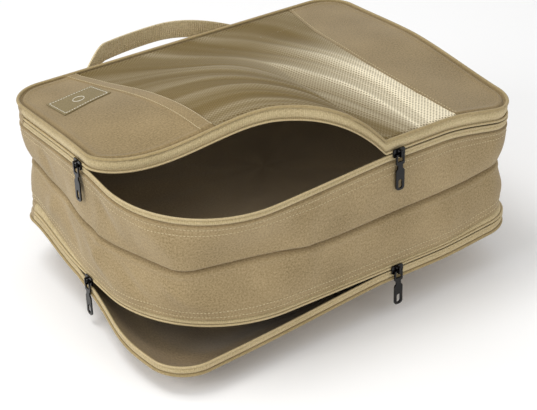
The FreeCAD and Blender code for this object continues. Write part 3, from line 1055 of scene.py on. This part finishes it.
def build_camera() -> None:
    """Adds the camera, at the angle and distance the object is seen from."""
    azimuth, elevation, roll = math.radians(-33.027), math.radians(29.07), math.radians(-1.82)
    target = Vector((0, 0, 0.110))
    back = Vector(
        (
            math.sin(azimuth) * math.cos(elevation),
            -math.cos(azimuth) * math.cos(elevation),
            math.sin(elevation),
        )
    )
    right = Vector((0, 0, 1)).cross(back).normalized()
    up = back.cross(right)
    turned = right * math.cos(roll) + up * math.sin(roll)
    upright = up * math.cos(roll) - right * math.sin(roll)
    data = bpy.data.cameras.new("camera")
    data.sensor_width = 36.0
    data.lens = 105.52
    data.shift_x = 0.0103
    data.shift_y = -0.0999
    data.clip_start = 0.05
    camera = bpy.data.objects.new("camera", data)
    bpy.context.scene.collection.objects.link(camera)
    turn = Matrix((turned, upright, back)).transposed().to_4x4()
    camera.matrix_world = Matrix.Translation(target + back * 1.3944) @ turn
    bpy.context.scene.camera = camera


def build_studio() -> None:
    """Adds the pale floor, an even light all round and a soft key light."""
    deselect()
    bpy.ops.mesh.primitive_plane_add(size=30.0, location=(0, 0, -0.0005))
    floor = bpy.context.object
    floor.name = "studio_floor"
    material, shader = new_material("matt_white_paper")
    shader.inputs["Base Color"].default_value = linear("#FFFFFF")
    shader.inputs["Roughness"].default_value = 0.95
    floor.data.materials.append(material)
    world = bpy.data.worlds.new("light_tent")
    world.use_nodes = True
    world.node_tree.nodes["Background"].inputs["Color"].default_value = linear("#FFFFFF")
    world.node_tree.nodes["Background"].inputs["Strength"].default_value = 0.66
    bpy.context.scene.world = world
    for name, place, size, power in (
        ("key_light", (-1.5, -0.1, 0.9), 0.9, 9.0),
        ("top_light", (-0.5, 0.3, 1.8), 0.8, 11.0),
        ("front_light", (0.7, -1.8, 0.8), 1.2, 5.0),
    ):
        data = bpy.data.lights.new(name, "AREA")
        data.size = size
        data.energy = power
        light = bpy.data.objects.new(name, data)
        bpy.context.scene.collection.objects.link(light)
        aim = Vector((0, 0, 0.1)) - Vector(place)
        turn = aim.to_track_quat("-Z", "Y").to_matrix().to_4x4()
        light.matrix_world = Matrix.Translation(place) @ turn
    scene = bpy.context.scene
    scene.view_settings.view_transform = "Standard"


# sub-assemblies


@dataclass
class Gusset:
    """The two side walls, the zip halves above and below them, and the divider between."""

    wardrobe: Wardrobe
    walls: Walls = field(default_factory=Walls)
    steps: int = 460
    rows: int = 30

    def build(self) -> None:
        """Makes every piece of the body but the handle and the hinges."""
        walls = self.walls
        upper = self.wall("gusset_upper_cloth", "gusset_upper", walls.upper)
        lower = self.wall("gusset_lower_cloth", "gusset_lower", walls.lower)
        self.tape("upper_body_tape_cloth", "upper_body_tape", walls.upper_band)
        self.tape("lower_body_tape_cloth", "lower_body_tape", walls.lower_band)
        self.coil("upper_body_coil", "upper_body_chain", True)
        self.coil("lower_body_coil", "lower_body_chain", False)
        self.divider()
        self.stitching()

    def wall(self, name: str, node: str, face: Surface) -> bpy.types.Object:
        """Makes one wall of slack cloth, all the way round."""
        piece = Strip(
            name, lambda u, v: face(u, crowd(v)), self.rows, self.steps, True, SHAPE.cloth
        ).make()
        self.wardrobe.fit(piece, "cube_body", node, Finish.GUSSET, "gusset_cloth")
        return piece

    def tape(self, name: str, node: str, face: Surface) -> None:
        """Makes a length of zip tape between a wall and its coil."""
        piece = Strip(name, lambda u, v: face(ZIP * u, v), 7, self.steps, False, 0.8 * MM).make()
        self.wardrobe.fit(piece, "cube_body", node, Finish.TAPE, "zip_tape")

    def coil(self, name: str, node: str, upper: bool) -> None:
        """Makes a half-chain: a cord of close turns that stands proud of its tape."""
        place = coil_surface(lambda u: self.walls.cord(ZIP * u, upper))
        piece = Strip(name, place, 8, COIL_STEPS, True).make()
        self.wardrobe.fit(piece, "cube_body", node, Finish.COIL, "zip_coil")

    def divider(self) -> None:
        """Makes the lining between the two compartments, slack in the middle."""
        walls = self.walls

        def surface(u: float, v: float) -> Vector:
            edge = walls.lower(u, 1.0, -1.5 * MM)
            x, y = edge.x * (1 - v), edge.y * (1 - v)
            sag = -6 * MM * smooth(v) + 2.0 * MM * ripple(x / 0.06, y / 0.06, 0, 9) * smooth(3 * v)
            return Vector((x, y, mix(edge.z, SHAPE.middle_seam, smooth(v)) + sag))

        piece = Strip("divider_cloth", surface, 24, 240, True, 0.8 * MM).make()
        self.wardrobe.fit(piece, "cube_body", "divider", Finish.LINING, "lining")

    def stitching(self) -> None:
        """Sews the double rows beside each zip."""
        walls = self.walls
        rows = []
        for k, (face, v) in enumerate(
            ((walls.upper, 0.915), (walls.upper, 0.80), (walls.lower, 0.085), (walls.lower, 0.20))
        ):

            def path(t: float, face: Callable = face, v: float = v) -> tuple[Vector, Vector]:
                return face(t, v, 0.1 * MM), walls.middle_out(t)

            rows.append(stitch_row(f"wall_stitch_{k}", path, walls.top.length))
        piece = join(rows, "wall_stitching")
        self.wardrobe.dress(piece, Finish.STITCH)
        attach(piece, "cube_body")
        log.info("wall_stitching")


def coil_surface(line: Path) -> Surface:
    """Returns the surface of a toothed cord laid along a line.

    Args:
        line: the place and outward direction at a share of the cord.

    Returns:
        A surface whose first share runs along the cord and whose second runs round it.
    """

    def surface(u: float, v: float) -> Vector:
        place, out = line(u)
        tooth = 0.5 + 0.5 * math.cos(2 * math.pi * u * COIL_TURNS)
        end = min(1.0, 200 * u, 200 * (1 - u))
        radius = mix(0.85, 1.35, tooth) * MM * end
        a = 2 * math.pi * v
        return place + out * (radius * math.cos(a) - 0.1 * MM) + Vector(
            (0, 0, 0.92 * radius * math.sin(a))
        )

    return surface


@dataclass
class UpperLid:
    """The upper lid: two canvas panels, a mesh window, binding, piping, zip half and label."""

    wardrobe: Wardrobe
    lid: Lid = field(default_factory=Lid)
    label_x: float = -137 * MM
    label_y: float = 78 * MM
    label_turn: float = math.radians(2.0)
    label_width: float = 46 * MM
    label_depth: float = 33 * MM
    label_hem: float = 2 * MM
    ring_radius: float = 5 * MM
    piping_radius: float = 1.5 * MM

    def build(self) -> None:
        """Makes every piece of the upper lid."""
        lid, w = self.lid, SHAPE.width / 2
        middle = SHAPE.strip_width / 2
        left = self.panel(
            "left_panel_cloth",
            "left_panel",
            lambda v: -w,
            lambda v: lid.strip_x(v) + middle,
            60,
            Finish.PANEL
        )
        window = self.panel(
            "mesh_window_cloth",
            "mesh_window",
            lambda v: lid.strip_x(v) + middle,
            lid.right_x,
            210,
            Finish.MESH
        )
        # the mesh window gets its painted highlight
        self.paint_highlight(window)
        right = self.panel(
            "right_panel_cloth", "right_panel", lid.right_x, lambda v: w, 44, Finish.PANEL
        )
        self.strip()
        self.tape()
        self.coil()
        self.piping()
        self.label()
        self.stitching()

    def panel(
        self, name: str, node: str, left: Callable, right: Callable, columns: int, finish: Finish
    ) -> bpy.types.Object:
        """Makes one panel between two edges given as functions of the share from back to front."""

        def surface(u: float, v: float) -> Vector:
            back = crowd(1 - v, 0.35)
            across = u
            if finish is Finish.PANEL and node == "left_panel":
                across = mix(u, 1 - math.cos(math.pi / 2 * u), 0.6)
            elif finish is Finish.PANEL:
                across = mix(u, math.sin(math.pi / 2 * u), 0.6)
            up = -0.5 * MM if finish is Finish.MESH else 0.0
            return self.lid.point(mix(left(back), right(back), across), back, up, 0.004)

        thickness = 0.0 if finish is Finish.MESH else 1.0 * MM
        piece = Strip(name, surface, 150, columns, False, thickness).make()
        slot = "mesh" if finish is Finish.MESH else "panel_cloth"
        self.wardrobe.fit(piece, "upper_lid", node, finish, slot)
        return piece

    def paint_highlight(self, window: bpy.types.Object) -> None:
        """Stores on each point the painted highlight, that is how pale its yarn is drawn."""
        layer = window.data.color_attributes.new("painted_highlight", "FLOAT_COLOR", "POINT")
        for vertex, value in zip(window.data.vertices, layer.data):
            paint_highlight = self.lid.painted_highlight(vertex.co.x, vertex.co.y)
            value.color = (paint_highlight, paint_highlight, paint_highlight, 1.0)

    def strip(self) -> None:
        """Makes the folded binding strip over the seam between canvas and mesh."""

        def surface(u: float, v: float) -> Vector:
            back = crowd(1 - v, 0.35)
            x = self.lid.strip_x(back) + SHAPE.strip_width * u
            rise = 1.7 * MM * (1 - abs(2 * u - 1) ** 6)
            return self.lid.point(x, back, rise - 0.4 * MM, 0.004)

        piece = Strip("binding_strip_cloth", surface, 150, 16, False, 0.5 * MM).make()
        self.wardrobe.fit(piece, "upper_lid", "binding_strip", Finish.PANEL, "binding")

    def tape(self) -> None:
        """Makes the band of zip tape that hangs from the lid's edge."""
        low = SHAPE.lid_cord + 0.6 * MM - SHAPE.upper_seam

        def surface(u: float, v: float) -> Vector:
            place, out = self.lid.edge(u)
            belly = (1.7 * math.sin(math.pi * min(1.0, 1.1 * (1 - v))) - 1.3) * MM
            return place + out * belly + Vector((0, 0, mix(low, -0.8 * MM, v)))

        piece = Strip("upper_lid_tape_cloth", surface, 12, 520, False, 0.8 * MM).make()
        self.wardrobe.fit(piece, "upper_lid", "upper_lid_tape", Finish.TAPE, "zip_tape")

    def coil(self) -> None:
        """Makes the lid's half-chain."""
        level = SHAPE.lid_cord - SHAPE.upper_seam

        def line(u: float) -> tuple[Vector, Vector]:
            place, out = self.lid.edge(u)
            return place + Vector((0, 0, level)), out

        piece = Strip("upper_lid_coil", coil_surface(line), 8, COIL_STEPS, True).make()
        self.wardrobe.fit(piece, "upper_lid", "upper_lid_chain", Finish.COIL, "zip_coil")

    def rim(self, u: float) -> tuple[Vector, Vector]:
        """Returns the whole edge of the lid, the back included."""
        if u <= ZIP:
            return self.lid.edge(u / ZIP)
        x, y, out_x, out_y = Outline(SHAPE.corner).at_share(u)
        return Vector((x, y, SHAPE.upper_seam - SHAPE.settle(x, y))), Vector((out_x, out_y, 0))

    def piping(self) -> None:
        """Makes the corded piping sewn into the edge."""

        def surface(u: float, v: float) -> Vector:
            place, out = self.rim(u)
            a = 2 * math.pi * v
            outwards = self.piping_radius * math.cos(a) - 0.1 * MM
            return place + out * outwards + UP * (self.piping_radius * math.sin(a) + 0.1 * MM)

        piece = Strip("upper_piping_cloth", surface, 12, 620, True).make()
        self.wardrobe.fit(piece, "upper_lid", "upper_piping", Finish.BINDING, "binding")

    def flat(self, across: float, along: float, up: float) -> Vector:
        """Returns a place on the label, in metres from its middle."""
        turn = self.label_turn
        x = self.label_x + across * math.cos(turn) - along * math.sin(turn)
        y = self.label_y + across * math.sin(turn) + along * math.cos(turn)
        front = self.lid.front(x)[0]
        back = self.lid.side(x, 1)
        return self.lid.point(x, (y - back) / (front - back), up, 0.0)

    def label(self) -> None:
        """Makes the woven patch with a plain ring for a mark."""

        def surface(u: float, v: float) -> Vector:
            return self.flat((u - 0.5) * self.label_width, (v - 0.5) * self.label_depth, 0.5 * MM)

        piece = Strip("label_patch_cloth", surface, 16, 24, False, 0.8 * MM, 0.0).make()
        self.wardrobe.fit(piece, "upper_lid", "label_patch", Finish.LABEL, "label")
        border = []
        half_w, half_d = self.label_width / 2 - self.label_hem, self.label_depth / 2 - self.label_hem
        for k, (across, along) in enumerate(((1, 0), (0, 1), (-1, 0), (0, -1))):

            def path(t: float, across: int = across, along: int = along) -> tuple[Vector, Vector]:
                if across:
                    spot = self.flat(across * half_w, (2 * t - 1) * half_d, 1.0 * MM)
                else:
                    spot = self.flat((2 * t - 1) * half_w, along * half_d, 1.0 * MM)
                return spot, UP

            border.append(
                stitch_row(f"label_stitch_{k}", path, 2 * (half_d if across else half_w), 2.6 * MM)
            )

        def ring(t: float) -> tuple[Vector, Vector]:
            a = 2 * math.pi * t
            return self.flat(
                self.ring_radius * math.cos(a), self.ring_radius * math.sin(a), 1.0 * MM
            ), UP

        border.append(stitch_row("label_ring", ring, 31 * MM, 1.2 * MM))
        marks = join(border, "label_embroidery")
        self.wardrobe.dress(marks, Finish.MARK)
        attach(marks, "upper_lid")

    def stitching(self) -> None:
        """Sews the rows along the strip, the right panel's edge and the lid's rim."""
        lid = self.lid
        rows = []
        for k, (edge, off, up) in enumerate(
            (
                (lid.strip_x, 1.6 * MM, 1.1 * MM),
                (lid.strip_x, 9.4 * MM, 1.1 * MM),
                (lid.right_x, 2.5 * MM, 0.15 * MM),
            )
        ):

            def path(
                t: float, edge: Callable = edge, off: float = off, up: float = up
            ) -> tuple[Vector, Vector]:
                v = mix(0.02, 0.98, t)
                return lid.point(edge(v) + off, v, up, 0.004), UP

            rows.append(stitch_row(f"lid_stitch_{k}", path, SHAPE.depth))
        piece = join(rows, "lid_stitching")
        self.wardrobe.dress(piece, Finish.STITCH)
        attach(piece, "upper_lid")


@dataclass
class LowerLid:
    """The panel the cube stands on: a soft pan with piping, tape and a zip half."""

    wardrobe: Wardrobe
    outline: Outline = field(default_factory=lambda: Outline(SHAPE.corner))
    push: float = 9 * MM
    hang: float = 15 * MM
    piping_radius: float = 1.4 * MM

    def build(self) -> None:
        """Makes every piece of the lower lid but its hinge."""
        self.panel()
        self.tape()
        self.coil()
        self.piping()

    def spot(self, u: float) -> tuple[float, float, float, float]:
        """Returns x, y and the outward direction of the edge, pushed out at the open corner."""
        x, y, out_x, out_y = self.outline.at_share(u)
        push = self.push * bell(u, 0.165, 0.045)
        return x + out_x * push, y + out_y * push, out_x, out_y

    def droop(self, u: float) -> float:
        """Returns how far the edge hangs below its level, at a share of the whole way round."""
        x, y, _, _ = self.spot(u)
        left, right = 0.075, 0.40
        hang = 0.0
        if left < u < right:
            hang = self.hang * math.sin(math.pi * ((u - left) / (right - left)) ** 0.8) ** 1.2
        return hang - SHAPE.hitch(x, y)

    def panel(self) -> None:
        """Makes the sagging panel, flat in the middle where it rests."""
        s = SHAPE

        def surface(u: float, v: float) -> Vector:
            x, y, _, _ = self.spot(u)
            k = 1 - 0.012 - 0.988 * v
            reach = min(1.0, v / 0.46)
            fall = smooth(reach) ** 0.85
            turn = 2 * math.pi * u
            wave = ripple(
                3 * math.cos(turn), 3 * math.sin(turn), 4 * v, 11
            ) * 2.2 * MM * math.sin(math.pi * reach)
            swell = 2.6 * MM * math.sin(math.pi * min(1.0, v / 0.2)) ** 2
            height = (s.lower_seam - self.droop(u)) * (1 - fall) + wave - swell + 0.9 * MM * fall
            return Vector((x * k, y * k, max(height, 0.9 * MM)))

        piece = Strip("lower_panel_cloth", surface, 48, 320, True, 0.85 * MM).make()
        self.wardrobe.fit(piece, "lower_lid", "lower_panel", Finish.LINING, "panel_cloth")

    def tape(self) -> None:
        """Makes the upright band of zip tape round the edge."""
        s = SHAPE

        def surface(u: float, v: float) -> Vector:
            x, y, out_x, out_y = self.spot(ZIP * u)
            belly = (1.5 * math.sin(math.pi * v) - 1.1) * MM
            height = mix(s.lower_seam + 1.0 * MM, s.lower_chain - 2.2 * MM, v) - self.droop(ZIP * u)
            return Vector((x + out_x * belly, y + out_y * belly, height))

        piece = Strip("lower_lid_tape_cloth", surface, 7, 460, False, 0.8 * MM).make()
        self.wardrobe.fit(piece, "lower_lid", "lower_lid_tape", Finish.TAPE, "zip_tape")

    def coil(self) -> None:
        """Makes the lower lid's half-chain."""
        level = SHAPE.lower_chain - 1.6 * MM

        def line(u: float) -> tuple[Vector, Vector]:
            x, y, out_x, out_y = self.spot(ZIP * u)
            return Vector((x, y, level - self.droop(ZIP * u))), Vector((out_x, out_y, 0))

        piece = Strip("lower_lid_coil", coil_surface(line), 8, COIL_STEPS, True).make()
        self.wardrobe.fit(piece, "lower_lid", "lower_lid_chain", Finish.COIL, "zip_coil")

    def piping(self) -> None:
        """Makes the corded piping sewn into the edge."""
        level = SHAPE.lower_seam + 0.2 * MM

        def surface(u: float, v: float) -> Vector:
            x, y, out_x, out_y = self.spot(u)
            a = 2 * math.pi * v
            out = self.piping_radius * math.cos(a) - 0.1 * MM
            height = level + self.piping_radius * math.sin(a) - self.droop(u)
            return Vector((x + out_x * out, y + out_y * out, height))

        piece = Strip("lower_piping_cloth", surface, 12, 460, True).make()
        self.wardrobe.fit(piece, "lower_lid", "lower_piping", Finish.BINDING, "binding")


@dataclass
class Hinges:
    """The two strips of canvas along the back that each lid folds on."""

    wardrobe: Wardrobe
    walls: Walls = field(default_factory=Walls)
    steps: int = 200

    def build(self) -> None:
        """Makes both strips."""
        s = SHAPE
        self.strip(
            "upper_hinge_cloth",
            lambda u, v: self.place(
                u, mix(s.upper_groove, s.upper_seam - 0.8 * MM, v), v, 1.0, self.walls.top
            ),
            ("upper_body_hinge_strip", "upper_lid_hinge_strip"),
        )
        piece = bpy.data.objects["upper_hinge_cloth"]
        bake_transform(piece)
        self.strip(
            "lower_hinge_cloth",
            lambda u, v: self.place(
                u,
                mix(s.lower_seam + 1.0 * MM, through(Walls.GROOVE, mix(ZIP, 1.0, u)), v),
                v,
                -1.0,
                self.walls.low
            ),
            ("lower_body_hinge_strip", "lower_lid_hinge_strip"),
        )
        piece = bpy.data.objects["lower_hinge_cloth"]
        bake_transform(piece)

    def place(self, u: float, z: float, v: float, side: float, outline: Outline) -> Vector:
        """Returns a place on a hinge strip, which has a shallow fold along its middle."""
        x, y, out_x, out_y = outline.at_share(mix(ZIP, 1.0, u))
        hollow = (-1.1 + 1.5 * abs(math.sin(2 * math.pi * v)) ** 0.7) * MM
        if side < 0:
            hollow -= 0.5 * through(Walls.WAIST, mix(ZIP, 1.0, u)) * v
            z += SHAPE.hitch(x, y)
        else:
            z -= SHAPE.settle(x, y)
        return Vector((x + out_x * hollow, y + out_y * hollow, z))

    def strip(self, name: str, surface: Surface, nodes: tuple[str, str]) -> None:
        """Makes one strip."""
        piece = Strip(name, surface, 16, self.steps, False, 0.9 * MM).make()
        self.wardrobe.dress(piece, Finish.GUSSET)
        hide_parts(*nodes)
        log.info(name)


@dataclass
class Handle:
    """The webbing loop at the back, sewn down at both ends."""

    wardrobe: Wardrobe
    half: float = 98 * MM
    bow: float = 30 * MM
    rise: float = 25 * MM
    end_z: float = 140 * MM
    middle_x: float = -8 * MM
    web: float = 18 * MM

    def line(self, x: float) -> Vector:
        """Returns the webbing's middle line at x from its centre.

        The left end leaves the wall steeply and the right end gently, as a loop that has
        been pulled to one side.
        """
        share = min(1.0, abs(x) / self.half)
        c = math.cos(math.pi / 2 * share)
        if x < 0:
            lift = smooth((1 - share - 0.02) / 0.40)
        else:
            lift = c
        out = self.bow * c**0.5
        return Vector(
            (self.middle_x + x, SHAPE.depth / 2 + 1.2 * MM + out, self.end_z + self.rise * lift)
        )

    def build(self) -> None:
        """Makes the loop as two halves that meet at the top."""
        for name, nodes, low, high in (
            ("handle_left_webbing", ("handle_end_left",), -1.0, 0.0),
            ("handle_right_webbing", ("handle_end_right", "handle_strap"), 0.0, 1.0),
        ):

            def surface(u: float, v: float, low: float = low, high: float = high) -> Vector:
                share = mix(high, low, u)
                # steps crowd where the loop leaves the wall
                share = math.copysign(1 - (1 - abs(share)) ** 1.5, share)
                place = self.line(share * self.half)
                lean = 0.22 * (v - 0.5) * self.web * math.cos(math.pi / 2 * share)
                rib = 0.22 * MM * math.cos(2 * math.pi * v * 7)
                return place + Vector((0, rib + 1.0 * MM - lean, mix(-self.web / 2, self.web / 2, v)))

            piece = Strip(name, surface, 42, 110, False, 1.8 * MM).make()
            self.wardrobe.dress(piece, Finish.WEBBING)
            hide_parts(*nodes)
            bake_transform(piece)
            log.info(name)


def dress_hardware(frame: dict, wardrobe: Wardrobe) -> None:
    """Paints the sliders, bridges and pulls."""
    for name, node in frame["nodes"].items():
        if name.endswith(("_slider", "_bridge", "_pull")):
            wardrobe.dress_node(node, Finish.METAL)


def main() -> None:
    """Builds the whole cube in order."""
    logging.basicConfig(level=logging.INFO, format="%(message)s")
    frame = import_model()
    build_camera()
    build_studio()
    wardrobe = Wardrobe()
    Gusset(wardrobe).build()
    UpperLid(wardrobe).build()
    LowerLid(wardrobe).build()
    Hinges(wardrobe).build()
    Handle(wardrobe).build()
    dress_hardware(frame, wardrobe)
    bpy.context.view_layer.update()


if __name__ == "__main__":
    main()
